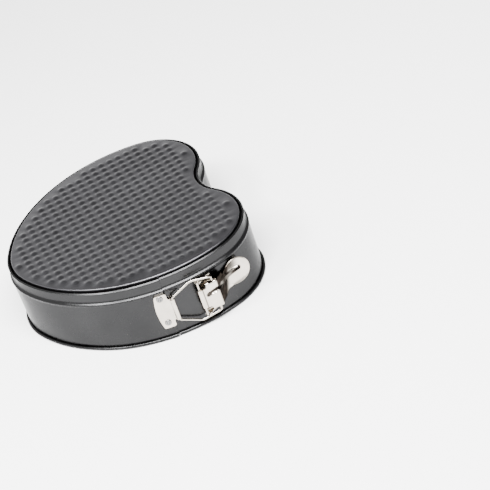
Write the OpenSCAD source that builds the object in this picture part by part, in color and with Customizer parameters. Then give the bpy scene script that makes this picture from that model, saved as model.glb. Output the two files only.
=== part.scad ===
// Heart-shaped springform pan, upside down on its rolled rim.
// X runs along the heart's axis from the tip to the notch, and Z = 0 is the plane of the rim.

/* [Heart] */
// Radius of the rounded tip, to the outer face of the wall
tip_r = 73.6; // [70:0.1:78]
// Radius of the two long sides
side_r = 141.8; // [138:0.1:146]
// Radius of the two lobes
lobe_r = 60.8; // [58:0.1:63]
// Radius of the hollow between the lobes
notch_r = 40.9; // [36:0.1:46]
// Centre of the tip's arc on the axis
tip_x = -35.95; // [-38:0.05:-34]
// Centre of each lobe along the axis
lobe_x = 48.75; // [46:0.05:51]
// Centre of each lobe off the axis
lobe_y = 56.1; // [54:0.1:58]

/* [Band] */
// Height of the band over the rim and the lip
band_h = 65.5; // [60:0.5:72]
// Thickness of the tin-plate
sheet = 0.8; // [0.6:0.1:0.9]
// Radius of the rolled rim
rim_r = 1.7; // [1.4:0.1:2]
// Radius of the hemmed lip
lip_r = 1.1; // [0.9:0.1:1.2]
// Height of the bead's crest below the lip
bead_drop = 12.8; // [12:0.1:13.5]
// How far the strip above the bead is set in from the wall
strip_inset = 1.6; // [1.2:0.1:2]

/* [Base] */
// How far the base's face stands proud of the lip
base_proud = 1.4; // [0.5:0.1:2]
// Gap between the base and the strip
base_gap = 2.4; // [2:0.1:3]
// Height of the embossed field above the base's face
emboss_h = 1.1; // [0.6:0.1:1.4]

/* [Latch] */
// Height of the latch's centre above the rim plane
latch_z = 31; // [29:0.5:33]
// Thickness of the latch's plates
plate = 1.1; // [0.9:0.1:1.2]
// Radius of the bail's wire and of the hinge pin
wire_r = 1; // [0.8:0.05:1.1]
// Running clearance of a wire in its eye
running = 0.08; // [0.03:0.01:0.1]
// Wall of a rolled eye
eye_wall = 1.12; // [0.9:0.02:1.3]
// Height of the anchor plate
anchor_h = 37.3; // [36:0.1:38]
// Length of the anchor plate's eye
anchor_eye = 23; // [20:0.5:24]
// Length of the lever's eye
lever_eye = 20; // [18:0.5:21]
// Height of the hinge bracket
bracket_h = 37.6; // [37:0.1:38]
// Radius of the lever's thumb tab
tab_r = 13.6; // [12:0.2:14]

/* [Hidden] */
$fn = 96;

nickel = [0.83, 0.81, 0.77];
coating = [0.24, 0.24, 0.26];

// Arc centres of the near half of the heart, each tangent to the next
tip_c = [tip_x, 0];
lobe_c = [lobe_x, -lobe_y];
side_c = meet(tip_c, side_r - tip_r, lobe_c, side_r - lobe_r);
notch_c = [lobe_x + sqrt(pow(lobe_r + notch_r, 2) - pow(lobe_y, 2)), 0];
// Directions in which the arcs meet
tip_dir = bearing(side_c, tip_c);
lobe_dir = bearing(side_c, lobe_c);
notch_dir = bearing(lobe_c, notch_c);

// Levels of the band's profile
shoulder_z = band_h - bead_drop + 2.4;
bead_z = band_h - bead_drop;
strip_u = -strip_inset - sheet / 2;
rim_u = rim_r - 0.7;
// The band's ends: the outer layer lies over the inner one
layer_gap = 0.15;
outer_u = sheet + layer_gap;
outer_end_x = 2;
joggle_x = -45.2;
outer_start_x = -42;
inner_end_x = -38;
inner_start_x = 2.6;
// The inner layer has no rim and no lip
tail_low = 0.6;
tail_drop = 2.6;
// Neighbouring arcs run into each other by a lap, and one of them is a hair thinner there
lap = 1;
lap_thin = 0.03;

// Levels of the base
base_z = band_h + base_proud;
flange_top = bead_z + 0.2;
flange_edge = -0.45;
dish_u = -strip_inset - sheet - base_gap;
chord_angle = 7;
// The field of bumps is one raised plateau, as high as their crests
field_u = dish_u - 6;

// Pivots of the latch, in plan
eye_r = wire_r + running + eye_wall;
anchor_pivot = on_side(6.2, 3.2);
hinge_pivot = on_side(31.8, 6);
lever_arm = 13.63;
lever_dir = -3.66;
wire_pivot = hinge_pivot + lever_arm * [cos(lever_dir), sin(lever_dir)];
bail_dir = bearing(anchor_pivot, wire_pivot);
bail_arm = norm(wire_pivot - anchor_pivot);

// Anchor plate and its rivets
anchor_left_x = -8;
anchor_right_x = 2.7;
anchor_bulge = 2.5;
anchor_rivet_x = -3.8;
anchor_rivet_pitch = 27.3;
anchor_rivet_rise = 1.3;
rivet_r = 3.2;
// Clearance of a rivet's shank, and how far a hole is cut past the sheets
rivet_clear = 0.05;
hole_over = 0.2;

// Hinge bracket and its rivets
bracket_left_x = 33.5;
bracket_right_x = 47.5;
bracket_rivet_x = 40.5;
bracket_rivet_pitch = 11;
small_rivet_r = 2.6;
tail_head_h = 0.6;
// The bracket moves with the band's inner end, a hair off the wall
bracket_off = 0.05;
ear_r = 2.4;

// Lever, in its own axes: x from the hinge pin along the lever, y towards the wall
lever_sheet = 1.2;
ear_start = 11;
ear_end = 17.2;
ear_half = 14.75;
ear_depth = 5.2;
ear_back = 7;
slot_r = 1.75;
slot_y = 0.17;
slot_start = 10.7;
slot_end = lever_arm - 0.6;
// Oblong hole to hang the pan by
hang_r = 1.3;
hang_half = 0.9;
hang_x = 41.3;
hang_z = 4.8;
// Half size of a box that holds the whole lever
lever_box = 30;
tab_x = 39.3;
tab_rise = 4;
// Outer face of the lever's sheet in plan: plate, crank, and a tab that stands off at its tip
lever_line = [[0, -eye_r], [ear_end, -eye_r], [27, 8.6], [tab_x, 12.7], [tab_x + tab_r, 14.5]];

// Bends of the bail: radius, reach of the runs into them, and half heights
bend_r = 1.6;
bend_reach = 0.15;
bail_eye_half = 12.6;
bail_mid_half = 22.7;
bail_corner_half = 19.6;

// The latch stands out on one side, so the outside box is centred by this shift
latch_reach = -hinge_pivot[1] - ear_end * sin(lever_dir) + eye_r * cos(lever_dir);
far_reach = side_r - side_c[1] + rim_u + rim_r;
centring = (latch_reach - far_reach) / 2;

// Point at distance a from p and b from q, to the left of the way from p to q
function meet(p, a, q, b) =
    let (d = norm(q - p), u = (q - p) / d, m = (a * a - b * b + d * d) / (2 * d))
    p + u * m + [-u[1], u[0]] * sqrt(a * a - m * m);
function bearing(p, q) = atan2(q[1] - p[1], q[0] - p[0]);
// Turn of a path at q, positive to the left
function turn_angle(p, q, r) = let (t = bearing(q, r) - bearing(p, q))
    t > 180 ? t - 360 : t < -180 ? t + 360 : t;
// Point over the near long side at a given x, standing off from the wall
function on_side(x, off) =
    [x, side_c[1] - sqrt(pow(side_r + off, 2) - pow(x - side_c[0], 2))];
// Polar angle of a place on the near long side
function side_angle(x) = 270 + asin((x - side_c[0]) / side_r);
function side_start() = 360 + tip_dir;
function side_end() = 360 + lobe_dir;

// Points of an arc, both ends included
function arc(c, r, a, b) =
    let (n = ceil(abs(b - a) / chord_angle))
    [for (i = [0:n]) c + r * [cos(a + (b - a) * i / n), sin(a + (b - a) * i / n)]];
// Near half of the outline at an offset from the wall's outer face
function near_half(off) = concat(
    arc(tip_c, tip_r + off, 180, side_start()),
    arc(side_c, side_r + off, side_start(), side_end()),
    arc(lobe_c, lobe_r + off, side_end(), 360 + notch_dir),
    arc(notch_c, notch_r - off, 180 + notch_dir, 180));
function outline(off) = let (h = near_half(off), n = len(h))
    concat(h, [for (i = [n - 2:-1:1]) [h[i][0], -h[i][1]]]);

// Sweeps the profile (x is the offset from the wall, y the height) round one arc
module sweep(c, r, a, b) {
    translate(c) rotate(a) rotate_extrude(angle = b - a, $fn = 160)
        translate([r, 0]) children();
}
module side_sweep(x0, x1) {
    sweep(side_c, side_r, side_angle(x0), side_angle(x1)) children();
}
// The tip and the lobes run a little way into the arcs on either side of them
module tip_sweep() {
    reach = lap / tip_r * 180 / PI;
    sweep(tip_c, tip_r, 360 - side_start() - reach, side_start() + reach) children();
}
module lobe_sweep() {
    reach = lap / lobe_r * 180 / PI;
    sweep(lobe_c, lobe_r, side_end() - reach, 360 + notch_dir + reach) children();
}
module notch_sweep() {
    translate(notch_c) rotate(180 - notch_dir) rotate_extrude(angle = 2 * notch_dir, $fn = 160)
        translate([notch_r, 0]) mirror([1, 0]) children();
}

// Wall of even thickness across a line of points
module strip_wall(line, thickness) {
    polygon(concat([for (p = line) p + [thickness / 2, 0]],
        [for (i = [len(line) - 1:-1:0]) line[i] - [thickness / 2, 0]]));
}

// Wall, bead and strip; thin is taken off each face
module wall_profile(low, high, thin = 0) {
    strip_wall([[-sheet / 2, low], [-sheet / 2, bead_z - 2.2], [0.5, bead_z - 0.4],
        [0.3, bead_z + 0.5], [strip_u, shoulder_z], [strip_u, high]], sheet - 2 * thin);
}

module band_profile(thin = 0) {
    wall_profile(rim_r, band_h - lip_r, thin);
    translate([rim_u, rim_r]) circle(rim_r - thin, $fn = 32);
    translate([strip_u + 0.1, band_h - lip_r]) circle(lip_r - thin, $fn = 32);
}

module band() {
    color(coating) translate([0, centring, 0]) {
        tip_sweep() band_profile(lap_thin);
        lobe_sweep() band_profile(lap_thin);
        mirror([0, 1, 0]) lobe_sweep() band_profile(lap_thin);
        notch_sweep() band_profile();
        mirror([0, 1, 0]) sweep(side_c, side_r, side_start(), side_end()) band_profile();
        sweep(side_c, side_r, side_start(), side_angle(joggle_x)) band_profile();
        side_sweep(joggle_x - lap, outer_start_x + lap) for (f = [0, 0.5, 1])
            translate([outer_u * f, 0]) band_profile(lap_thin);
        difference() {
            side_sweep(outer_start_x, outer_end_x) translate([outer_u, 0]) band_profile();
            anchor_holes();
        }
        side_sweep(inner_end_x, inner_start_x + lap)
            wall_profile(tail_low, band_h - tail_drop, lap_thin);
        difference() {
            sweep(side_c, side_r, side_angle(inner_start_x), side_end()) band_profile();
            bracket_holes();
        }
    }
}

// Edge of the panel, dish wall and flange; thin is taken off each face
module base_profile(thin = 0) {
    low = flange_top - sheet;
    translate([dish_u - sheet + thin, low + thin])
        square([sheet - 2 * thin, base_z - low - 2 * thin]);
    translate([dish_u - sheet + thin, low + thin])
        square([flange_edge - dish_u + sheet - 2 * thin, sheet - 2 * thin]);
}

// Slab of the heart's shape between two heights
module level(low, high, off) {
    translate([0, 0, low]) linear_extrude(high - low) polygon(outline(off));
}

module base_plate() {
    color(coating) translate([0, centring, 0]) {
        tip_sweep() base_profile(lap_thin);
        lobe_sweep() base_profile(lap_thin);
        mirror([0, 1, 0]) lobe_sweep() base_profile(lap_thin);
        notch_sweep() base_profile();
        for (s = [0, 1]) mirror([0, s, 0])
            sweep(side_c, side_r, side_start(), side_end()) base_profile();
        difference() {
            union() {
                level(base_z - sheet, base_z, dish_u - sheet / 2);
                level(base_z - sheet, base_z + emboss_h, field_u);
            }
            level(base_z - sheet - lap, base_z + emboss_h - sheet, field_u - sheet);
        }
    }
}

// Plate lying on the near long side between two places, at an offset from the wall
module side_plate(x0, x1, off, half, thin = 0) {
    side_sweep(x0, x1) translate([off + thin, latch_z - half])
        square([plate - 2 * thin, 2 * half]);
}

// Rolled eye, and the bore that its pin runs in
module eye(p, length) {
    translate([p[0], p[1], latch_z]) difference() {
        cylinder(r = eye_r, h = length, center = true);
        eye_bore(length);
    }
}
module eye_bore(length) {
    cylinder(r = wire_r + running, h = length + 2, center = true);
}

module anchor_plate() {
    bulge_r = (pow(anchor_h / 2, 2) + pow(anchor_bulge, 2)) / (2 * anchor_bulge);
    color(nickel) translate([0, centring, 0]) {
        difference() {
            intersection() {
                side_plate(anchor_left_x - anchor_bulge, anchor_right_x, outer_u, anchor_h / 2);
                translate([anchor_left_x - anchor_bulge + bulge_r, 0, latch_z])
                    rotate([90, 0, 0]) cylinder(r = bulge_r, h = 2 * side_r, $fn = 360);
            }
            anchor_holes();
        }
        difference() {
            union() {
                side_plate(anchor_right_x - lap, anchor_pivot[0], outer_u,
                    anchor_eye / 2 - lap_thin, lap_thin);
                translate([anchor_pivot[0], anchor_pivot[1], latch_z])
                    cylinder(r = eye_r, h = anchor_eye, center = true);
            }
            translate([anchor_pivot[0], anchor_pivot[1], latch_z]) eye_bore(anchor_eye);
        }
    }
}

// Places a rivet's axis across the near long side, with its Z outwards from the wall's face
module across_side(x, z) {
    translate([side_c[0], side_c[1], z]) rotate(side_angle(x) - 270) rotate([90, 0, 0])
        translate([0, 0, side_r]) children();
}
module rivet_hole(x, z, r, low, high) {
    across_side(x, z) translate([0, 0, low])
        cylinder(r = r / 2 + rivet_clear, h = high - low, $fn = 32);
}
module anchor_holes() {
    for (s = [-1, 1]) rivet_hole(anchor_rivet_x, anchor_rivet_z(s), rivet_r,
        outer_u - sheet - hole_over / 2, outer_u + plate + hole_over);
}
module bracket_holes() {
    for (s = [-1, 1]) rivet_hole(bracket_rivet_x, bracket_rivet_z(s), small_rivet_r,
        -sheet - hole_over, plate + hole_over);
}
function anchor_rivet_z(s) = latch_z + anchor_rivet_rise + s * anchor_rivet_pitch / 2;
function bracket_rivet_z(s) = latch_z + s * bracket_rivet_pitch / 2;

// Rivet with a dished head outside, and a flat one inside if it has room
module rivet(x, z, r, head_off, tail_off, tail_head) {
    across_side(x, z) {
        translate([0, 0, tail_off])
            cylinder(r = r / 2, h = head_off - tail_off + hole_over / 2, $fn = 32);
        translate([0, 0, head_off]) rotate_extrude($fn = 32)
            polygon([[0, 0], [r, 0], [r, 0.4], [r * 0.75, 1], [r * 0.45, 1.1], [0, 0.5]]);
        if (tail_head) translate([0, 0, tail_off - tail_head_h])
            cylinder(r = r, h = tail_head_h, $fn = 32);
    }
}

module anchor_rivets() {
    color(nickel) translate([0, centring, 0]) for (s = [-1, 1])
        rivet(anchor_rivet_x, anchor_rivet_z(s), rivet_r, outer_u + plate, outer_u - sheet, false);
}

// Flat bent wire through a line of points in its own X-Y plane. The runs reach a little way
// into the bends, which are a hair thicker.
module wire(points) {
    last = len(points) - 1;
    turn = [for (i = [0:last]) i == 0 || i == last ? 0 :
        turn_angle(points[i - 1], points[i], points[i + 1])];
    for (i = [0:last - 1]) {
        dir = bearing(points[i], points[i + 1]);
        cut_a = i == 0 ? 0 : bend_r * tan(abs(turn[i]) / 2) - bend_reach;
        cut_b = i == last - 1 ? 0 : bend_r * tan(abs(turn[i + 1]) / 2) - bend_reach;
        translate(points[i]) rotate(dir) translate([cut_a, 0]) rotate([0, 90, 0])
            cylinder(r = wire_r, h = norm(points[i + 1] - points[i]) - cut_a - cut_b, $fn = 32);
    }
    for (i = [1:last - 1]) {
        side = sign(turn[i]);
        start = bearing(points[i - 1], points[i]);
        back = bend_r * tan(abs(turn[i]) / 2);
        centre = points[i] - back * [cos(start), sin(start)]
            + side * bend_r * [-sin(start), cos(start)];
        translate(centre) rotate(side > 0 ? start - 90 : start + 90 + turn[i])
            rotate_extrude(angle = abs(turn[i])) translate([bend_r, 0])
                circle(wire_r + lap_thin, $fn = 32);
    }
}

module bail_wire() {
    upper = [[bail_arm, ear_half - lever_sheet / 2], [bail_arm, bail_corner_half - 1],
        [bail_arm - 2, bail_corner_half], [20.3, bail_mid_half], [0, bail_eye_half]];
    lower = [for (i = [len(upper) - 1:-1:0]) [upper[i][0], -upper[i][1]]];
    color(nickel) translate([anchor_pivot[0], anchor_pivot[1] + centring, latch_z])
        rotate(bail_dir) rotate([90, 0, 0]) wire(concat(upper, lower));
}

module bracket_ear(z) {
    foot_a = on_side(bracket_left_x, 0.3);
    foot_b = on_side(bracket_right_x - 1, 0.3);
    translate([0, 0, z]) difference() {
        linear_extrude(plate) {
            translate(hinge_pivot) circle(ear_r);
            polygon([foot_a, foot_b, hinge_pivot + [5, 1], hinge_pivot + [ear_r * 0.7, -ear_r * 0.7],
                hinge_pivot - [ear_r * 0.7, ear_r * 0.7]]);
        }
        translate([hinge_pivot[0], hinge_pivot[1], -1]) cylinder(r = wire_r, h = plate + 2);
    }
}

module hinge_bracket() {
    half = bracket_h / 2;
    color(nickel) translate([0, centring, 0]) {
        difference() {
            side_plate(bracket_left_x, bracket_right_x, bracket_off, half);
            bracket_holes();
        }
        bracket_ear(latch_z - half + lap_thin);
        bracket_ear(latch_z + half - plate - lap_thin);
    }
}

module bracket_rivets() {
    color(nickel) translate([0, centring, 0]) for (s = [-1, 1])
        rivet(bracket_rivet_x, bracket_rivet_z(s), small_rivet_r,
            bracket_off + plate, -sheet - bracket_off, true);
}

module hinge_pin() {
    length = bracket_h + 0.8;
    color(nickel) translate([hinge_pivot[0], hinge_pivot[1] + centring, latch_z])
        cylinder(r = wire_r, h = length, center = true);
}

// Side view of the lever: plate, neck and thumb tab
module lever_face() {
    half_eye = lever_eye / 2;
    polygon([[0, -half_eye], [ear_start, -half_eye], [ear_start, -ear_half], [ear_end, -ear_half],
        [ear_end + 1.5, -11], [23.5, -11], [26, -7.6], [34, -7.4], [38, -9], [38, 16.8],
        [25.4, 11], [23.6, ear_half], [ear_start, ear_half], [ear_start, half_eye],
        [0, half_eye]]);
    translate([tab_x, tab_rise]) circle(tab_r);
}

// Plan of the lever's bent sheet
module lever_plan() {
    polygon(concat(lever_line, [for (i = [len(lever_line) - 1:-1:0])
        lever_line[i] + [i == 1 ? -1 : 0, lever_sheet]]));
}

module lever_ear(z) {
    translate([ear_back, -eye_r, z]) cube([ear_end - ear_back, ear_depth, lever_sheet]);
}
// Slot that the bail's end rides in
module ear_slot(z) {
    translate([0, slot_y, z - lap]) {
        for (x = [slot_start, slot_end]) translate([x, 0, 0])
            cylinder(r = slot_r, h = lever_sheet + 2 * lap);
        translate([slot_start, -slot_r, 0])
            cube([slot_end - slot_start, 2 * slot_r, lever_sheet + 2 * lap]);
    }
}

module lever() {
    color(nickel) translate([0, centring, 0]) {
        eye(hinge_pivot, lever_eye);
        translate([hinge_pivot[0], hinge_pivot[1], latch_z]) rotate(lever_dir) {
            difference() {
                union() {
                    intersection() {
                        translate([0, 0, -lever_box]) linear_extrude(2 * lever_box) lever_plan();
                        translate([0, lever_box, 0]) rotate([90, 0, 0])
                            linear_extrude(2 * lever_box) lever_face();
                    }
                    lever_ear(ear_half - lever_sheet);
                    lever_ear(-ear_half);
                }
                translate([hang_x, 0, hang_z]) rotate([-90, 0, 0]) {
                    for (x = [-hang_half, hang_half]) translate([x, 0, 0])
                        cylinder(r = hang_r, h = lever_box);
                    translate([-hang_half, -hang_r, 0]) cube([2 * hang_half, 2 * hang_r, lever_box]);
                }
                ear_slot(ear_half - lever_sheet);
                ear_slot(-ear_half);
                cylinder(r = wire_r + running, h = lever_eye + 2, center = true);
            }
        }
    }
}

band();
base_plate();
anchor_plate();
anchor_rivets();
bail_wire();
hinge_bracket();
bracket_rivets();
hinge_pin();
lever();
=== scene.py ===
"""Heart-shaped springform pan: detailed meshes, materials, light and camera round the CAD frame."""
import math

import bmesh
import bpy
import numpy as np
from mathutils import Matrix, Vector
from mathutils.geometry import delaunay_2d_cdt


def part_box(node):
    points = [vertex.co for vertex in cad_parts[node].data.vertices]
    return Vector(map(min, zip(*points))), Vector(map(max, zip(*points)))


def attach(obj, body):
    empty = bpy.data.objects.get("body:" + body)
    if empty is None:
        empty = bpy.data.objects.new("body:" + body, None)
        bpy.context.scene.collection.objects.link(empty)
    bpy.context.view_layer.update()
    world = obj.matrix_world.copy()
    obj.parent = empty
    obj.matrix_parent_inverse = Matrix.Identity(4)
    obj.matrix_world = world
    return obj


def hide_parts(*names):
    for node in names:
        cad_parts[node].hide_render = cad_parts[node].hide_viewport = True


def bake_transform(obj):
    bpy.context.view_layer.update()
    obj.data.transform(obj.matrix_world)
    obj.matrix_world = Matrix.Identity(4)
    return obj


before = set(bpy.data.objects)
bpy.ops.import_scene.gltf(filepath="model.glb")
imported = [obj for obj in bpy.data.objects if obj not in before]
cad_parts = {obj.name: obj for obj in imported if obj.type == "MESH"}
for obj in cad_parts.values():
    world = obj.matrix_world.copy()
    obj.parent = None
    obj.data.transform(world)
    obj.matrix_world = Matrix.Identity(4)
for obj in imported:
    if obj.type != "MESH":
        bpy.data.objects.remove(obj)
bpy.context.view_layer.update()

MM = 0.001

# ---------------------------------------------------------------- dimensions, in millimetres
TIP_R, SIDE_R, LOBE_R, NOTCH_R = 73.6, 141.8, 60.8, 40.9
TIP_C = (-35.95, 0.0)
LOBE_C = (48.75, -56.1)
SHEET = 0.8

base_low, base_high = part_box("base_plate")
CENTRING = (base_low[1] + base_high[1]) / 2 / MM
BUMP_H = 1.1
BASE_TOP = base_high[2] / MM - BUMP_H
FLANGE_LOW = base_low[2] / MM
LATCH_Z = (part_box("hinge_pin")[0][2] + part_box("hinge_pin")[1][2]) / 2 / MM

OUTER_SHIFT = 0.95          # how far the outer layer of the overlap stands off
JOGGLE_X, OUTER_START_X, OUTER_END_X = -80.0, -39.5, 2.0
INNER_START_X, INNER_END_X = 2.6, -38.0

WIRE_R = 1.0
EYE_R = 2.2
PLATE = 1.1
LEVER_DIR = math.radians(-3.66)
LEVER_ARM = 13.63


# ---------------------------------------------------------------- the heart's outline
def meet(p, a, q, b):
    """The point at distance a from p and b from q, to the left of the way from p to q."""
    d = math.dist(p, q)
    ux, uy = (q[0] - p[0]) / d, (q[1] - p[1]) / d
    m = (a * a - b * b + d * d) / (2 * d)
    h = math.sqrt(a * a - m * m)
    return p[0] + ux * m - uy * h, p[1] + uy * m + ux * h


def bearing(p, q):
    return math.degrees(math.atan2(q[1] - p[1], q[0] - p[0]))


SIDE_C = meet(TIP_C, SIDE_R - TIP_R, LOBE_C, SIDE_R - LOBE_R)
NOTCH_C = (LOBE_C[0] + math.sqrt((LOBE_R + NOTCH_R) ** 2 - LOBE_C[1] ** 2), 0.0)
FAR_SIDE_C = (SIDE_C[0], -SIDE_C[1])
FAR_LOBE_C = (LOBE_C[0], -LOBE_C[1])
SIDE_A = 360 + bearing(SIDE_C, TIP_C)       # where the tip's arc meets the near side
SIDE_B = 360 + bearing(SIDE_C, LOBE_C)      # where the near side meets the lobe
NOTCH_A = bearing(LOBE_C, NOTCH_C)          # where a lobe meets the hollow


def side_angle(x):
    """Polar angle of the place on the near long side at x."""
    return 270 + math.degrees(math.asin((x - SIDE_C[0]) / SIDE_R))


def on_side(x, off):
    """Point over the near long side at x, standing off from the wall."""
    return x, SIDE_C[1] - math.sqrt((SIDE_R + off) ** 2 - (x - SIDE_C[0]) ** 2)


# Arcs run anticlockwise round the heart: centre, radius, first and last angle, 1 or -1 if hollow
ARC_FAR_SIDE_1 = (FAR_SIDE_C, SIDE_R, 90, 360 - SIDE_A, 1)
ARC_TIP = (TIP_C, TIP_R, 360 - SIDE_A, SIDE_A, 1)
ARC_SIDE = (SIDE_C, SIDE_R, SIDE_A, SIDE_B, 1)
ARC_LOBE = (LOBE_C, LOBE_R, SIDE_B, 360 + NOTCH_A, 1)
ARC_NOTCH = (NOTCH_C, NOTCH_R, 180 + NOTCH_A, 180 - NOTCH_A, -1)
ARC_FAR_LOBE = (FAR_LOBE_C, LOBE_R, -NOTCH_A, 360 - SIDE_B, 1)
ARC_FAR_SIDE_2 = (FAR_SIDE_C, SIDE_R, 360 - SIDE_B, 90, 1)
WHOLE = [ARC_FAR_SIDE_1, ARC_TIP, ARC_SIDE, ARC_LOBE, ARC_NOTCH, ARC_FAR_LOBE, ARC_FAR_SIDE_2]


def stations(arcs, step=2.0):
    """Points along the arcs and their outward normals, as two arrays."""
    points, normals = [], []
    for k, (c, r, a, b, kind) in enumerate(arcs):
        n = max(2, math.ceil(abs(math.radians(b - a)) * r / step))
        for i in range(0 if k == 0 else 1, n + 1):
            t = math.radians(a + (b - a) * i / n)
            d = np.array([math.cos(t), math.sin(t)])
            points.append(np.array(c) + r * d)
            normals.append(kind * d)
    return np.array(points), np.array(normals)


def smooth(t):
    t = np.clip(t, 0, 1)
    return t * t * (3 - 2 * t)


# ---------------------------------------------------------------- mesh helpers
SHARP_ANGLE = 35            # an edge bent by more degrees than this is shaded as an edge


def new_object(name, verts, faces, sharp=SHARP_ANGLE):
    """Object from points in millimetres in the heart's own axes."""
    mesh = bpy.data.meshes.new(name)
    co = np.asarray(verts, float) + [0, CENTRING, 0]
    mesh.from_pydata([tuple(v * MM) for v in co], [], [tuple(f) for f in faces])
    mesh.validate()
    bm = bmesh.new()
    bm.from_mesh(mesh)
    bmesh.ops.remove_doubles(bm, verts=bm.verts, dist=1e-6)
    bmesh.ops.recalc_face_normals(bm, faces=bm.faces)
    bm.to_mesh(mesh)
    bm.free()
    mesh.shade_smooth()
    mesh.set_sharp_from_angle(angle=math.radians(sharp))
    obj = bpy.data.objects.new(name, mesh)
    bpy.context.collection.objects.link(obj)
    return obj


def freeze(obj):
    """Applies the object's modifiers to its mesh."""
    bpy.context.view_layer.update()
    graph = bpy.context.evaluated_depsgraph_get()
    mesh = bpy.data.meshes.new_from_object(obj.evaluated_get(graph))
    obj.modifiers.clear()
    obj.data = mesh
    mesh.shade_smooth()
    mesh.set_sharp_from_angle(angle=math.radians(SHARP_ANGLE))
    return obj


def join_parts(parts):
    """Vertices and faces of several parts as one."""
    verts, faces = [], []
    for v, f in parts:
        n = len(verts)
        verts += [tuple(p) for p in v]
        faces += [tuple(i + n for i in face) for face in f]
    return verts, faces


def grid_faces(rows, cols, close_cols=False, close_rows=False):
    """Quads between rows of points; a row is one station's profile."""
    faces = []
    for i in range(rows if close_rows else rows - 1):
        for j in range(cols if close_cols else cols - 1):
            a, b = i * cols, (i + 1) % rows * cols
            k = (j + 1) % cols
            faces.append((a + j, b + j, b + k, a + k))
    return faces


def corner_curve(p, q, r, radius, steps):
    """Smooth curve that cuts the corner at q, between p and r."""
    a, b = p - q, r - q
    # A corner takes just under half of each side, so that two corners never meet
    cut = min(radius, np.linalg.norm(a) / 2.05, np.linalg.norm(b) / 2.05)
    a, b = q + a / np.linalg.norm(a) * cut, q + b / np.linalg.norm(b) * cut
    return [(1 - t) ** 2 * a + 2 * t * (1 - t) * q + t * t * b
            for t in (i / steps for i in range(steps + 1))]


def rounded(points, radius, steps=4):
    """A line of points with each inner corner cut by a smooth curve."""
    pts = [np.array(p, float) for p in points]
    out = [pts[0]]
    for p, q, r in zip(pts, pts[1:], pts[2:]):
        out += corner_curve(p, q, r, radius, steps)
    out.append(pts[-1])
    return np.array(out)


def smooth_loop(points, radius, steps=5):
    """Closed loop with every corner rounded."""
    pts = [np.array(p, float) for p in points]
    out = []
    for p, q, r in zip([pts[-1]] + pts[:-1], pts, pts[1:] + [pts[0]]):
        out += corner_curve(p, q, r, radius, steps)
    return np.array(out)


def arc_points(c, r, a, b, n):
    t = np.radians(np.linspace(a, b, n))
    return np.c_[c[0] + r * np.cos(t), c[1] + r * np.sin(t)]


def sweep(profile, arcs, shift=None, step=2.0):
    """Sweeps a closed profile (offset from the wall, height) along the arcs."""
    p, n = stations(arcs, step)
    out = shift(p) if shift else np.zeros(len(p))
    u = profile[None, :, 0] + out[:, None]
    xy = p[:, None, :] + n[:, None, :] * u[:, :, None]
    z = np.broadcast_to(profile[None, :, 1:], xy.shape[:2] + (1,))
    verts = np.concatenate([xy, z], 2).reshape(-1, 3)
    m = len(profile)
    faces = grid_faces(len(p), m, close_cols=True)
    faces += [tuple(range(m)), tuple(range(len(verts) - 1, len(verts) - 1 - m, -1))]
    return verts, faces


def lathe(profile, steps=28):
    """Turns a profile of (radius, height) about Z; its ends lie on the axis."""
    verts = [(0, 0, profile[0][1])]
    for r, z in profile[1:-1]:
        t = np.linspace(0, 2 * np.pi, steps, endpoint=False)
        verts += [(r * math.cos(a), r * math.sin(a), z) for a in t]
    verts.append((0, 0, profile[-1][1]))
    faces = [(0, 1 + (i + 1) % steps, 1 + i) for i in range(steps)]
    for k in range(len(profile) - 3):
        a, b = 1 + k * steps, 1 + (k + 1) * steps
        faces += [(a + i, a + (i + 1) % steps, b + (i + 1) % steps, b + i) for i in range(steps)]
    a, last = len(verts) - 1 - steps, len(verts) - 1
    faces += [(a + i, a + (i + 1) % steps, last) for i in range(steps)]
    return np.array(verts), faces


def tube(path, radius, steps=16):
    """Round bar along a path, with slightly domed ends."""
    p = np.asarray(path, float)
    t = np.gradient(p, axis=0)
    t /= np.linalg.norm(t, axis=1)[:, None]
    side = np.cross(t[0], [0.3, 0.5, 0.8])
    verts = []
    for i in range(len(p)):
        side = side - t[i] * side.dot(t[i])
        side /= np.linalg.norm(side)
        up = np.cross(t[i], side)
        rings = [(1.0, 0.0)]
        if i == 0:
            rings = [(0.5, 0.0), (0.88, 0.08), (1.0, 0.3)]
        if i == len(p) - 1:
            rings = [(1.0, -0.3), (0.88, -0.08), (0.5, 0.0)]
        for k, along in rings:
            for a in np.linspace(0, 2 * np.pi, steps, endpoint=False):
                ring = side * math.cos(a) + up * math.sin(a)
                verts.append(p[i] + t[i] * along + ring * radius * k)
    rows = len(verts) // steps
    faces = grid_faces(rows, steps, close_cols=True)
    faces += [tuple(range(steps)), tuple(range(len(verts) - 1, len(verts) - 1 - steps, -1))]
    return np.array(verts), faces


def inside(points, loop):
    """Whether each point lies inside a closed loop."""
    x, y = points[:, 0], points[:, 1]
    hit = np.zeros(len(points), bool)
    for (x0, y0), (x1, y1) in zip(loop, np.roll(loop, -1, axis=0)):
        if y0 == y1:
            continue
        crosses = (y0 > y) != (y1 > y)
        hit ^= crosses & (x < (x1 - x0) * (y - y0) / (y1 - y0) + x0)
    return hit


def loop_gap(points, loop):
    """Distance of each point from a closed loop of closely spaced points."""
    best = np.full(len(points), np.inf)
    for q in loop:
        best = np.minimum(best, np.hypot(points[:, 0] - q[0], points[:, 1] - q[1]))
    return best


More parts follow.
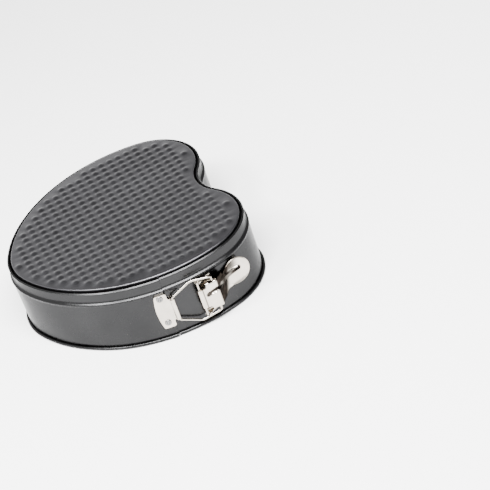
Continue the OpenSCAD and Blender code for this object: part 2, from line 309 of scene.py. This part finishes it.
def fill(loop, holes=(), extra=None):
    """Triangles inside a loop, round its holes and through the extra points."""
    loops = [np.asarray(loop)] + [np.asarray(h) for h in holes]
    pts, edges = [], []
    for l in loops:
        n = len(pts)
        pts += [tuple(p) for p in l]
        edges += [(n + i, n + (i + 1) % len(l)) for i in range(len(l))]
    if extra is not None and len(extra):
        pts += [tuple(p) for p in extra]
    co, _, tris, _, _, _ = delaunay_2d_cdt([Vector(p) for p in pts], edges, [], 0, 1e-7, False)
    co = np.array([tuple(c) for c in co])
    mid = np.array([co[list(t)].mean(0) for t in tris])
    keep = inside(mid, loops[0])
    for h in loops[1:]:
        keep &= ~inside(mid, h)
    return co, [tuple(t) for t, k in zip(tris, keep) if k]


def grid_in(loop, pitch, margin, holes=()):
    """Grid points inside a loop and clear of its edge and its holes."""
    l = np.asarray(loop)
    lo, hi = l.min(0), l.max(0)
    gx, gy = np.meshgrid(np.arange(lo[0] + pitch / 2, hi[0], pitch),
                         np.arange(lo[1] + pitch / 2, hi[1], pitch))
    g = np.c_[gx.ravel(), gy.ravel()]
    g = g[inside(g, l)]
    g = g[loop_gap(g, resample(l, pitch / 2)) > margin]
    for h in holes:
        g = g[~inside(g, np.asarray(h))]
        g = g[loop_gap(g, resample(np.asarray(h), pitch / 2)) > margin]
    return g


def resample(loop, step):
    """The same closed loop with points no further apart than step; corners stay."""
    out = []
    for p, q in zip(loop, np.roll(loop, -1, axis=0)):
        n = max(1, math.ceil(np.hypot(*(q - p)) / step))
        out += [p + (q - p) * i / n for i in range(n)]
    return np.array(out)


class Bend:
    """A sheet's path in plan, measured along its length."""

    def __init__(self, points):
        self.p = np.asarray(points, float)
        self.s = np.r_[0, np.cumsum(np.hypot(*np.diff(self.p, axis=0).T))]
        self.t = np.gradient(self.p, self.s, axis=0)
        self.t /= np.linalg.norm(self.t, axis=1)[:, None]

    def at(self, s):
        return np.c_[np.interp(s, self.s, self.p[:, 0]), np.interp(s, self.s, self.p[:, 1])]

    def normal(self, s):
        t = np.c_[np.interp(s, self.s, self.t[:, 0]), np.interp(s, self.s, self.t[:, 1])]
        t /= np.linalg.norm(t, axis=1)[:, None]
        return np.c_[t[:, 1], -t[:, 0]]

    def place(self, s, h, out=0):
        """Points at length s and height h over the latch's centre, pressed outwards by out."""
        xy = self.at(s) + self.normal(s) * np.reshape(out, (-1, 1))
        return np.c_[xy, h + LATCH_Z]

    def along(self, x):
        """Length at which the path first reaches x."""
        k = int(np.argmax(self.p[:, 0] >= x))
        a, b = self.p[k - 1], self.p[k]
        return self.s[k - 1] + (x - a[0]) / (b[0] - a[0]) * (self.s[k] - self.s[k - 1])


def bent_sheet(name, place, loop, thickness, holes=(), pitch=1.0, edge=0.22):
    """A flat blank bent into shape by place(a, b), thickened both ways and its edges broken."""
    loop = resample(np.asarray(loop, float), pitch)
    holes = [resample(np.asarray(h, float), pitch * 0.6) for h in holes]
    flat, tris = fill(loop, holes, grid_in(loop, pitch, pitch * 0.45, holes))
    obj = new_object(name, place(flat[:, 0], flat[:, 1]), tris)
    mod = obj.modifiers.new("thick", "SOLIDIFY")
    mod.thickness, mod.offset = thickness * MM, 0
    mod.use_even_offset = True
    mod = obj.modifiers.new("edge", "BEVEL")
    mod.width, mod.segments = edge * MM, 2
    mod.limit_method, mod.angle_limit = "ANGLE", math.radians(50)
    return freeze(obj)


# ---------------------------------------------------------------- materials
def node_material(name):
    mat = bpy.data.materials.new(name)
    mat.use_nodes = True
    tree = mat.node_tree
    shader = tree.nodes["Principled BSDF"]
    coord = tree.nodes.new("ShaderNodeTexCoord")
    return mat, tree, shader, coord


def noise(tree, coord, scale, detail=3.0, rough=0.55, stretch=None):
    tex = tree.nodes.new("ShaderNodeTexNoise")
    tex.inputs["Scale"].default_value = scale
    tex.inputs["Detail"].default_value = detail
    tex.inputs["Roughness"].default_value = rough
    source = coord.outputs["Object"]
    if stretch:
        move = tree.nodes.new("ShaderNodeMapping")
        move.inputs["Scale"].default_value = stretch
        tree.links.new(source, move.inputs["Vector"])
        source = move.outputs["Vector"]
    tree.links.new(source, tex.inputs["Vector"])
    return tex.outputs["Fac"]


def ramp(tree, source, low, high, start=0.3, end=0.7):
    """Colour ramp from low to high over the middle of a noise's values."""
    node = tree.nodes.new("ShaderNodeValToRGB")
    node.color_ramp.elements[0].position = start
    node.color_ramp.elements[1].position = end
    node.color_ramp.elements[0].color = (*low, 1)
    node.color_ramp.elements[1].color = (*high, 1)
    tree.links.new(source, node.inputs["Fac"])
    return node.outputs["Color"]


def spread(tree, source, low, high, start=0.3, end=0.7):
    node = tree.nodes.new("ShaderNodeMapRange")
    for socket, value in (("From Min", start), ("From Max", end), ("To Min", low), ("To Max", high)):
        node.inputs[socket].default_value = value
    tree.links.new(source, node.inputs["Value"])
    return node.outputs["Result"]


def bump(tree, source, shader, strength, distance):
    node = tree.nodes.new("ShaderNodeBump")
    node.inputs["Strength"].default_value = strength
    node.inputs["Distance"].default_value = distance
    tree.links.new(source, node.inputs["Height"])
    tree.links.new(node.outputs["Normal"], shader.inputs["Normal"])


def coated_steel(name, low, high, edge, roughness):
    """Dark non-stick coating: satin, with a fine sparkle and a faint cloudiness."""
    mat, tree, shader, coord = node_material(name)
    shader.inputs["Metallic"].default_value = 1.0
    shader.inputs["Specular Tint"].default_value = (edge, edge, edge, 1)
    cloud = noise(tree, coord, 22, 4)
    tree.links.new(ramp(tree, cloud, low, high), shader.inputs["Base Color"])
    tree.links.new(spread(tree, noise(tree, coord, 60, 5), *roughness), shader.inputs["Roughness"])
    bump(tree, noise(tree, coord, 1600, 2), shader, 0.12, 0.0002)
    return mat


def nickel(name, low, high, roughness, stretch, with_painted_shade=False):
    """Bright warm plating with faint drawing lines and soft stains, and where asked painted shade and
    dark reflections read from a mesh attribute.
    """
    mat, tree, shader, coord = node_material(name)
    shader.inputs["Metallic"].default_value = 1.0
    colour = ramp(tree, noise(tree, coord, 90, 4), low, high)
    if with_painted_shade:
        # Painted shade: a brown-dark colour stands in for shade and dark reflections on the lever's
        # channel, neck and tab; a mesh attribute says where
        shader.inputs["Specular Tint"].default_value = (0.52, 0.515, 0.51, 1)
        painted_shade = tree.nodes.new("ShaderNodeAttribute")
        painted_shade.attribute_name = "painted_shade"
        shade_brown = ramp(tree, noise(tree, coord, 260, 3),
                     (0.0025, 0.0023, 0.0021), (0.014, 0.0110, 0.0093), 0.42, 0.62)
        mix = tree.nodes.new("ShaderNodeMix")
        mix.data_type = "RGBA"
        tree.links.new(painted_shade.outputs["Fac"], mix.inputs["Factor"])
        tree.links.new(colour, mix.inputs[6])
        tree.links.new(shade_brown, mix.inputs[7])
        colour = mix.outputs[2]
    tree.links.new(colour, shader.inputs["Base Color"])
    tree.links.new(spread(tree, noise(tree, coord, 160, 3, 0.6, stretch), *roughness),
                   shader.inputs["Roughness"])
    bump(tree, noise(tree, coord, 500, 3, 0.6, stretch), shader, 0.08, 0.0002)
    return mat


BAND_COAT = coated_steel("band_coat", (0.0205, 0.0205, 0.0209), (0.0260, 0.0260, 0.0265),
                         0.62, (0.22, 0.30))
BASE_COAT = coated_steel("base_coat", (0.061, 0.060, 0.064), (0.069, 0.068, 0.073),
                         0.97, (0.28, 0.36))
PLATING = nickel("nickel_plate", (0.46, 0.42, 0.365), (0.54, 0.495, 0.435), (0.16, 0.24), (1, 1, 5))
# The lever's plating carries painted shade and dark reflections in its channel, neck and tab
LEVER_PLATING = nickel("nickel_lever", (0.46, 0.42, 0.365), (0.54, 0.495, 0.435), (0.16, 0.24),
                       (1, 1, 5), with_painted_shade=True)
WIRE_PLATING = nickel("nickel_wire", (0.38, 0.345, 0.30), (0.48, 0.44, 0.385), (0.14, 0.22), (6, 6, 1))
RIVET_PLATING = nickel("nickel_rivet", (0.15, 0.148, 0.145), (0.24, 0.237, 0.23), (0.2, 0.3),
                       (1, 1, 1))


def finish_piece(obj, mat, slot_name, *nodes):
    obj.data.materials.clear()
    obj.data.materials.append(mat)
    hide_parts(*nodes)
    return obj


# ---------------------------------------------------------------- band
RIM_R, LIP, LIP_R = 1.7, (-1.9, 64.4), 1.1
rim = arc_points((1.0, RIM_R), RIM_R, 180, 486, 22)
# The hem's outer shoulder is flattened, so that it draws a bright line round the lip
hem = np.concatenate([arc_points(LIP, LIP_R, -74, 14, 6), arc_points(LIP, LIP_R, 80, 243, 10)])
outer_wall = rounded([rim[-1], (0, 50.5), (0.9, 52.3), (0.7, 53.2), (-1.6, 55.1), hem[0]], 1.6, 5)
inner_wall = rounded([hem[-1], (-2.4, 54.9), (-0.1, 52.9), (-0.8, 50.6), (-0.8, 1.7)], 1.6, 5)
profile = np.concatenate([rim[1:], outer_wall[1:], hem[1:], inner_wall[1:-1]])
# The band's inner layer under the latch: wall, bead and strip only
skin_out = rounded([(0, 0.6), (0, 50.5), (0.9, 52.3), (0.7, 53.2), (-1.6, 55.1), (-1.6, 62.9)], 1.6, 5)
skin_in = rounded([(-2.4, 62.9), (-2.4, 54.9), (-0.1, 52.9), (-0.8, 50.6), (-0.8, 0.6)], 1.6, 5)
tail_profile = np.concatenate([skin_out, skin_in]) - [0.03, 0]


def overlap_shift(p):
    near = (p[:, 1] < 0) & (p[:, 0] > JOGGLE_X)
    return OUTER_SHIFT * near * smooth((p[:, 0] - JOGGLE_X) / (OUTER_START_X - JOGGLE_X))


tip_part = [ARC_FAR_SIDE_1, ARC_TIP,
            (SIDE_C, SIDE_R, SIDE_A, side_angle(OUTER_END_X), 1)]
band_outer = new_object("band_outer_end", *sweep(profile, tip_part, overlap_shift, step=1.4))
finish_piece(band_outer, BAND_COAT, "band_coating", "band")
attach(band_outer, "band")

notch_part = [(SIDE_C, SIDE_R, side_angle(INNER_START_X), SIDE_B, 1), ARC_LOBE, ARC_NOTCH,
              ARC_FAR_LOBE, ARC_FAR_SIDE_2]
tail_part = [(SIDE_C, SIDE_R, side_angle(INNER_END_X), side_angle(INNER_START_X + 1), 1)]
band_inner = new_object("band_inner_end", *join_parts(
    [sweep(profile, notch_part, step=1.4), sweep(tail_profile, tail_part, step=1.4)]))
finish_piece(band_inner, BAND_COAT, "band_coating", "band")
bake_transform(band_inner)


# ---------------------------------------------------------------- base
PANEL_U = -4.8
PITCH = 9.3
LATTICE_START = 0.338       # where the field of bumps starts along X, in pitches
BUMP_R = 4.2
FIELD_MARGIN = 12.6         # from the wall to the nearest bump
TIP_MARGIN_LESS = 2.5       # how much nearer the bumps come to it at the tip
TURN_R, TURN_IN = 1.4, 2.2  # the panel's outer bend, and how far in its lower face begins
SAG = 0.9                   # how far the middle of the panel hangs


def bump_centres():
    """Middle of each bump of the underside's square field."""
    edge, normal = stations(WHOLE, 3.0)
    margin = FIELD_MARGIN - TIP_MARGIN_LESS * smooth((-60 - edge[:-1, :1]) / 30)
    limit = edge[:-1] - normal[:-1] * margin
    cells = np.array([((i + LATTICE_START) * PITCH, k * PITCH)
                      for i in range(-14, 13) for k in range(-13, 14)])
    return cells[inside(cells, limit)]


def ring_points(centres, rings):
    """Rings of points round each centre, each given as a radius and a number of points."""
    out = []
    for r, n in rings:
        turn = 2 * math.pi * (np.arange(n) + 0.5) / n
        ring = np.c_[np.cos(turn), np.sin(turn)] * r
        out.append((centres[:, None, :] + ring[None, :, :]).reshape(-1, 2))
    return np.concatenate(out + [centres])


def bump_rise(r, reach, height):
    """Height of a round bump at a distance from its middle: a cap with a soft foot."""
    t = np.clip(r / reach, 0, 1)
    return height * (1 - t * t) ** 1.35


def panel_face(u, level, rings, reach, height, flip):
    """Flat face inside the outline at offset u, with a bump on every centre."""
    edge, normal = stations(WHOLE, 2.0)
    loop = (edge + normal * u)[:-1]
    centres = bump_centres()
    co, tris = fill(loop, extra=ring_points(centres, rings))
    gap = np.full(len(co), np.inf)
    for c in centres:
        gap = np.minimum(gap, np.hypot(co[:, 0] - c[0], co[:, 1] - c[1]))
    depth = loop_gap(co, loop)
    z = level + bump_rise(gap, reach, height) - SAG * smooth(depth / 70)
    if flip:
        tris = [t[::-1] for t in tris]
    return np.c_[co, z], tris


top_face = panel_face(PANEL_U - TURN_R, BASE_TOP, [(BUMP_R + 0.1, 14), (3.4, 14), (2.4, 12), (1.2, 8)],
                      BUMP_R, BUMP_H, False)
low_face = panel_face(PANEL_U - TURN_IN, BASE_TOP - SHEET, [(3.9, 10), (2.2, 8)], 3.8, BUMP_H, True)
corner = arc_points((PANEL_U - TURN_R, BASE_TOP - TURN_R), TURN_R, 90, 0, 7)
inner_corner = arc_points((PANEL_U - TURN_IN, BASE_TOP - SHEET - TURN_R), TURN_R, 0, 90, 6)
edge_line = np.concatenate([
    corner[:-1],
    rounded([corner[-1], (PANEL_U, FLANGE_LOW + SHEET), (-0.75, FLANGE_LOW + SHEET)], 0.6, 4),
    arc_points((-0.85, FLANGE_LOW + SHEET / 2), SHEET / 2, 90, -90, 7),
    rounded([(-0.95, FLANGE_LOW), (PANEL_U - SHEET, FLANGE_LOW), inner_corner[0]], 1.0, 4),
    inner_corner[1:]])
edge_p, edge_n = stations(WHOLE, 2.0)
edge_p, edge_n = edge_p[:-1], edge_n[:-1]
skirt_xy = edge_p[:, None, :] + edge_n[:, None, :] * edge_line[None, :, :1]
skirt_z = np.broadcast_to(edge_line[None, :, 1:], skirt_xy.shape[:2] + (1,))
skirt = (np.concatenate([skirt_xy, skirt_z], 2).reshape(-1, 3),
         grid_faces(len(edge_p), len(edge_line), close_rows=True))
base = new_object("base", *join_parts([top_face, low_face, skirt]), sharp=60)
finish_piece(base, BASE_COAT, "base_coating", "base_plate")
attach(base, "base")


# ---------------------------------------------------------------- latch
ANCHOR = on_side(6.2, 3.2)
PIVOT = on_side(31.8, 6)
WIRE_PIVOT = (PIVOT[0] + LEVER_ARM * math.cos(LEVER_DIR), PIVOT[1] + LEVER_ARM * math.sin(LEVER_DIR))


# Anchor plate: over the side, then rolled outwards round the bail
ANCHOR_HALF, ANCHOR_EYE_HALF, ANCHOR_BULGE = 18.65, 11.5, 2.5
mid = OUTER_SHIFT + PLATE / 2
plate_line = [on_side(x, mid) for x in np.linspace(-10.5, 5.6, 24)]
roll = arc_points(ANCHOR, EYE_R - PLATE / 2, 88, -232, 34)
anchor_bend = Bend(np.concatenate([plate_line, roll]))
foot = anchor_bend.along(2.7)
end = anchor_bend.s[-1]
outline = [(foot, -ANCHOR_HALF), (foot, -ANCHOR_EYE_HALF), (end, -ANCHOR_EYE_HALF),
           (end, ANCHOR_EYE_HALF), (foot, ANCHOR_EYE_HALF), (foot, ANCHOR_HALF)]
bulge = [(10.5 - 8 - ANCHOR_BULGE * (1 - (h / ANCHOR_HALF) ** 2), h)
         for h in np.linspace(ANCHOR_HALF, -ANCHOR_HALF, 13)]
anchor = bent_sheet("anchor_plate_sheet", anchor_bend.place, smooth_loop(outline + bulge, 2.2),
                    PLATE, pitch=1.2)
finish_piece(anchor, PLATING, "latch_nickel", "anchor_plate")
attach(anchor, "band")


def side_xyz(x, off, h):
    """Points beside the near wall: place along it, distance from it, height over the latch."""
    x, off, h = np.broadcast_arrays(*(np.asarray(v, float) for v in (x, off, h)))
    y = SIDE_C[1] - np.sqrt((SIDE_R + off) ** 2 - (x - SIDE_C[0]) ** 2)
    return np.c_[x, y, h + LATCH_Z]


# Hinge bracket: a channel whose two ears stand out and carry the pin
EAR_TIP, HALF = 8.4, 18.25
channel = Bend(rounded([(EAR_TIP, -HALF), (0.6, -HALF), (0.6, HALF), (EAR_TIP, HALF)], 1.3, 6))
PIN_OUT, PIN_X = 6, 31.8
lug = [(1.2, 33.6), (4.3, 30.2)]
lug += [tuple(p) for p in arc_points((PIN_OUT, PIN_X), 2.4, 225, 45, 9)]
lug += [(6.6, 35.6), (4.2, 38.6), (1.9, 44.5), (1.2, 46.6)]
total = channel.s[-1]
loop = [(EAR_TIP - off, x) for off, x in lug] + [(EAR_TIP, 47.5)]
loop += [(total - s_, x) for s_, x in reversed(loop)]
loop.insert(len(lug) * 2 + 2, (total - EAR_TIP, 33.5))
loop.append((EAR_TIP, 33.5))
pin_hole = arc_points((0, 0), 1.0, 0, 360, 17)[:-1]
holes = [pin_hole + [EAR_TIP - PIN_OUT, PIN_X], pin_hole + [total - EAR_TIP + PIN_OUT, PIN_X]]


def channel_place(s_, x):
    line = channel.at(s_)
    return side_xyz(x, line[:, 0], line[:, 1])


bracket = bent_sheet("hinge_bracket_channel", channel_place, loop, PLATE, holes, pitch=0.9)
finish_piece(bracket, PLATING, "latch_nickel", "hinge_bracket")
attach(bracket, "latch_end")

# Lever: rolled eye, ribbed plate with two ears, cranked neck and a dished thumb tab
LEVER_T = 1.2
PAINTED_SHADE_POWER = 2.2            # plating is so bright that only strong painted shade shows
skin = EYE_R - LEVER_T / 2
TAB_X, TAB_RISE, TAB_R = 39.3, 4.0, 13.6
FOLD_X, HANG_X, HANG_RISE = 17.2, 41.3, 4.8
lever_bend = Bend(np.concatenate([
    arc_points((0, 0), skin, -410, -92, 36),
    rounded([(0.1, -skin), (FOLD_X, -skin), (27, 9.2), (TAB_X, 13.3), (TAB_X + TAB_R, 15.1)], 2.5, 8)]))
EAR_FLAT, EAR_FOLD = 14.15, 1.3
fold_s = EAR_FLAT - EAR_FOLD
fold_e = fold_s + math.pi / 2 * EAR_FOLD
at_x = lever_bend.along


def blank_height(y):
    """Height on the flat blank of a place on an ear, at y across the lever."""
    return fold_e + (y + skin - EAR_FOLD)


def lever_place(s_, b):
    """Bends the blank: along the lever's line, and its ears over towards the wall."""
    x = lever_bend.at(s_)[:, 0]
    a = np.clip((np.abs(b) - fold_s) / EAR_FOLD, 0, math.pi / 2)
    over = np.maximum(np.abs(b) - fold_e, 0)
    ear = (np.abs(b) > fold_s) & (s_ < at_x(FOLD_X + 0.6))
    h = np.where(ear, np.sign(b) * (fold_s + EAR_FOLD * np.sin(a)), b)
    inward = np.where(ear, EAR_FOLD * (1 - np.cos(a)) + over, 0)
    # The tab is dished, and a channel runs straight from the plate to the tab's middle
    r = np.hypot(s_ - at_x(TAB_X), b - TAB_RISE) / TAB_R
    dish = np.where(s_ > at_x(25), -2.6 * np.clip(1 - r * r, 0, 1) ** 0.8, 0)
    p = lever_bend.place(s_, h, np.where(ear, -inward, dish))
    x, y = p[:, 0].copy(), p[:, 1].copy()
    y += np.where(ear, 0, channel_depth(x, y, b))
    c, s = math.cos(LEVER_DIR), math.sin(LEVER_DIR)
    p[:, 0] = PIVOT[0] + c * x - s * y
    p[:, 1] = PIVOT[1] + s * x + c * y
    return p


def channel_middle(x):
    """Height of the channel's middle line over the latch's centre."""
    return np.interp(x, [5, 16, 27, 44], [2.6, 5.2, 4.6, 5.2])


def channel_depth(x, y, b):
    """How far the channel is pressed towards the wall, or away from it where the neck dips."""
    start, end = (5.0, -skin), (44.0, 12.6)
    line = start[1] + (end[1] - start[1]) * np.clip((x - start[0]) / (end[0] - start[0]), 0, 1)
    gone = np.maximum(start[0] + 2 - x, 0) + np.maximum(x - end[0] + 2, 0)
    ends = np.hypot(gone, b - channel_middle(x))
    return (0.5 * (line - y) + 0.7) * smooth((2.7 - ends) / 1.2)


def lever_blank():
    """Outline of the flat blank: eye, ears, neck and round tab."""
    top = blank_height(3.0)
    fold = at_x(FOLD_X)
    tab = arc_points((at_x(TAB_X), TAB_RISE), TAB_R, -118, 108, 40)
    lower = [(0, -10), (at_x(7) - 1.2, -10), (at_x(7), -fold_s), (at_x(7), -top), (fold, -top),
             (fold, -fold_s), (fold + 1.5, -11.5), (at_x(23), -10.5), (at_x(25.5), -7.8),
             (at_x(32), -7.4)]
    upper = [(at_x(25.2), 10.9), (at_x(23.8), 14.9), (fold + 1.0, 15.3), (fold, fold_s + 1.8),
             (fold, top), (at_x(7), top), (at_x(7), fold_s), (at_x(7) - 1.2, 10), (0, 10)]
    return smooth_loop(lower + [tuple(q) for q in tab] + upper, 1.2)


def paint_lever_shade(obj):
    """Marks where shade and dark reflections are painted on the lever: channel, neck, tab's upper edge,
    and a dark line at the eye's seam.
    """
    co = np.array([v.co[:] for v in obj.data.vertices]) / MM - [*PIVOT, LATCH_Z] - [0, CENTRING, 0]
    c, s = math.cos(LEVER_DIR), math.sin(LEVER_DIR)
    x, z = c * co[:, 0] + s * co[:, 1], co[:, 2]
    middle = channel_middle(x)
    off = np.hypot(np.maximum(6.5 - x, 0) + np.maximum(x - 42.5, 0), z - middle)
    groove = smooth((2.5 - off) / 0.8)
    neck = smooth((x - 16.5) / 1.5) * smooth((34 - x + 0.4 * (z - 4)) / 7) * smooth((z + 14) / 2)
    rim = 0.8 * smooth((z - middle - 1) / 5) * smooth((45 - x) / 10) * smooth((x - 26) / 4)
    along_groove = np.interp(x, [5, 15, 18, 22, 25, 29, 33, 37, 41],
                             [0.75, 0.8, 0.97, 0.45, 0.85, 0.6, 0.55, 0.9, 0.98])
    # Painted shade and dark reflection, strongest along the channel and over the neck
    shade_amount = np.maximum(0.93 * neck, 0.85 * rim) * (1 - groove) + groove * along_groove
    # Painted shade: a dark line where the rolled eye meets the plate
    crease = 0.8 * smooth(1 - np.abs(x - 2.5) / 0.7) * (np.abs(z) < 12.5)
    shade_amount = 1 - (1 - np.maximum(shade_amount, crease)) ** PAINTED_SHADE_POWER
    painted_shade = obj.data.attributes.new("painted_shade", "FLOAT", "POINT")
    painted_shade.data.foreach_set("value", shade_amount.astype(np.float32))


SLOT_R, SLOT_Y = 1.75, 0.17
HANG_R, HANG_HALF = 1.3, 0.9
slot_low, slot_high = at_x(10.7), at_x(LEVER_ARM - 0.6)
slot = np.concatenate([
    arc_points((slot_high, blank_height(SLOT_Y)), SLOT_R, -90, 90, 10),
    arc_points((slot_low, blank_height(SLOT_Y)), SLOT_R, 90, 270, 10)])
hang = np.concatenate([
    arc_points((at_x(HANG_X) + HANG_HALF, HANG_RISE), HANG_R, -90, 90, 10),
    arc_points((at_x(HANG_X) - HANG_HALF, HANG_RISE), HANG_R, 90, 270, 10)])
lever = bent_sheet("lever_pressing", lever_place, lever_blank(), LEVER_T,
                   [slot, slot * [1, -1], hang], pitch=0.6, edge=0.25)
# Painted shade and dark reflections are laid on the lever's mesh here
paint_lever_shade(lever)
finish_piece(lever, LEVER_PLATING, "latch_nickel", "lever")
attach(lever, "lever")

# Bail: one bent wire through the anchor plate's eye, its ends turned into the lever's ears
BAIL_DIR = math.radians(bearing(ANCHOR, WIRE_PIVOT))
BAIL_ARM = math.dist(ANCHOR, WIRE_PIVOT)
upper = [(BAIL_ARM, 14.15), (BAIL_ARM, 18.6), (BAIL_ARM - 2, 19.6), (20.3, 22.7), (0, 12.6)]
wire_line = rounded(upper + [(a, -h) for a, h in reversed(upper)], 2.6, 10)
bail_path = [(ANCHOR[0] + a * math.cos(BAIL_DIR), ANCHOR[1] + a * math.sin(BAIL_DIR), LATCH_Z + h)
             for a, h in wire_line]
bail = new_object("bail", *tube(bail_path, WIRE_R), sharp=60)
finish_piece(bail, WIRE_PLATING, "latch_nickel", "bail_wire")
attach(bail, "bail")

# Hinge pin, its ends upset over the bracket's ears
pin_half = (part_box("hinge_pin")[1][2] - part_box("hinge_pin")[0][2]) / 2 / MM
head = [(0.5, pin_half), (0.95, pin_half - 0.1), (1.25, pin_half - 0.3), (1.0, pin_half - 0.4)]
pin_line = [(0, pin_half)] + head + [(r, -z) for r, z in reversed(head)] + [(0, -pin_half)]
pin_verts, pin_faces = lathe(pin_line, 20)
pin = new_object("pin", pin_verts + [*PIVOT, LATCH_Z], pin_faces)
finish_piece(pin, WIRE_PLATING, "latch_nickel", "hinge_pin")
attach(pin, "latch_end")


def rivets(name, x, off, spots, scale, shank, tail, node, body):
    """Tubular rivets with dished heads across the near side."""
    head = [(0, 0.22), (0.95, 0.25), (1.2, 0.42), (1.45, 0.85), (1.8, 1.08), (2.3, 1.08), (2.8, 0.86),
            (3.12, 0.5), (3.2, 0.15), (3.15, 0)]
    line = [(r * scale, z) for r, z in head] + [(1.6 * scale, 0), (1.6 * scale, -shank)]
    if tail:
        line += [(3.0 * scale, -shank), (3.15 * scale, -shank - 0.3), (2.8 * scale, -shank - 0.6)]
        line += [(0, -shank - 0.6)]
    else:
        line += [(0, -shank)]
    verts, faces = lathe(line)
    a = math.radians(side_angle(x))
    turn = Matrix(((-math.sin(a), 0, math.cos(a)), (math.cos(a), 0, math.sin(a)), (0, 1, 0)))
    turned = verts @ np.array(turn).T
    parts = []
    for h in spots:
        foot = side_xyz([x], [off], [h])[0]
        parts.append((turned + foot, faces))
    obj = new_object(name, *join_parts(parts), sharp=50)
    finish_piece(obj, RIVET_PLATING, "latch_nickel", node)
    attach(obj, body)


ANCHOR_RIVET_RISE, ANCHOR_RIVET_HALF, BRACKET_RIVET_HALF = 1.3, 13.65, 5.5
BRACKET_OFF = 0.05          # gap between the bracket and the wall
rivets("rivets_anchor", -3.8, OUTER_SHIFT + PLATE,
       (ANCHOR_RIVET_RISE - ANCHOR_RIVET_HALF, ANCHOR_RIVET_RISE + ANCHOR_RIVET_HALF), 1.0, 1.9, False,
       "anchor_rivets", "band")
rivets("rivets_bracket", 40.5, BRACKET_OFF + PLATE, (-BRACKET_RIVET_HALF, BRACKET_RIVET_HALF),
       2.6 / 3.2, 2.0, True, "bracket_rivets", "latch_end")


# ---------------------------------------------------------------- floor, light and camera
FLOOR_HALF = 6.0


def flat_material(name, colour, roughness):
    mat, tree, shader, coord = node_material(name)
    shade = ramp(tree, noise(tree, coord, 3, 2), colour, tuple(c * 0.985 for c in colour))
    tree.links.new(shade, shader.inputs["Base Color"])
    shader.inputs["Roughness"].default_value = roughness
    return mat


def wide_floor():
    """Pale paper floor, far larger than the pan."""
    corners = [(-FLOOR_HALF, -FLOOR_HALF), (FLOOR_HALF, -FLOOR_HALF),
               (FLOOR_HALF, FLOOR_HALF), (-FLOOR_HALF, FLOOR_HALF)]
    mesh = bpy.data.meshes.new("floor")
    mesh.from_pydata([(x, y, 0) for x, y in corners], [], [(0, 1, 2, 3)])
    obj = bpy.data.objects.new("floor", mesh)
    bpy.context.collection.objects.link(obj)
    mesh.materials.append(flat_material("floor_paper", (0.93, 0.93, 0.93), 0.9))


def area_light(name, place, aim, size, power):
    light = bpy.data.lights.new(name, "AREA")
    light.shape = "RECTANGLE"
    light.size, light.size_y = size
    light.energy = power
    obj = bpy.data.objects.new(name, light)
    obj.location = place
    obj.rotation_euler = (Vector(aim) - Vector(place)).to_track_quat("-Z", "Y").to_euler()
    bpy.context.collection.objects.link(obj)


def studio_world():
    """Soft white room: bright low down all round, dim overhead, and dimmer towards +X."""
    world = bpy.data.worlds.new("studio")
    world.use_nodes = True
    tree = world.node_tree
    coord = tree.nodes.new("ShaderNodeTexCoord")
    split = tree.nodes.new("ShaderNodeSeparateXYZ")
    tree.links.new(coord.outputs["Generated"], split.inputs[0])
    height = tree.nodes.new("ShaderNodeValToRGB")
    stops = [(0.0, 1.0), (0.35, 0.95), (0.6, 0.62), (0.8, 0.2), (1.0, 0.1)]
    marks = height.color_ramp.elements
    while len(marks) < len(stops):
        marks.new(0.5)
    for mark, (at, grey) in zip(marks, stops):
        mark.position = at
        mark.color = (grey, grey, grey, 1)
    tree.links.new(split.outputs["Z"], height.inputs["Fac"])
    side = spread(tree, split.outputs["X"], 1.0, 0.45, -0.2, 0.9)
    mix = tree.nodes.new("ShaderNodeVectorMath")
    mix.operation = "SCALE"
    tree.links.new(height.outputs["Color"], mix.inputs[0])
    tree.links.new(side, mix.inputs["Scale"])
    back = tree.nodes["Background"]
    tree.links.new(mix.outputs[0], back.inputs["Color"])
    back.inputs["Strength"].default_value = 2.8
    bpy.context.scene.world = world


wide_floor()
studio_world()
LIGHTS_AIM = (0, 0, 0.03)
area_light("key", (-0.05, -0.72, 1.5), LIGHTS_AIM, (1.3, 0.34), 150)
area_light("side", (-0.95, -0.3, 1.3), LIGHTS_AIM, (0.5, 0.3), 40)

camera_data = bpy.data.cameras.new("camera")
camera_data.lens = 125.15
camera_data.sensor_width = 36
camera = bpy.data.objects.new("camera", camera_data)
CAMERA_PLACE = (-0.17895, -1.34646, 0.93400)
right, up = (0.88432, -0.38174, -0.26880), (0.43360, 0.45805, 0.77600)
ahead = (0.17311, 0.80278, -0.57059)
look = Matrix([right, up, [-v for v in ahead]]).transposed().to_4x4()
camera.matrix_world = Matrix.Translation(CAMERA_PLACE) @ look
bpy.context.collection.objects.link(camera)
bpy.context.scene.camera = camera
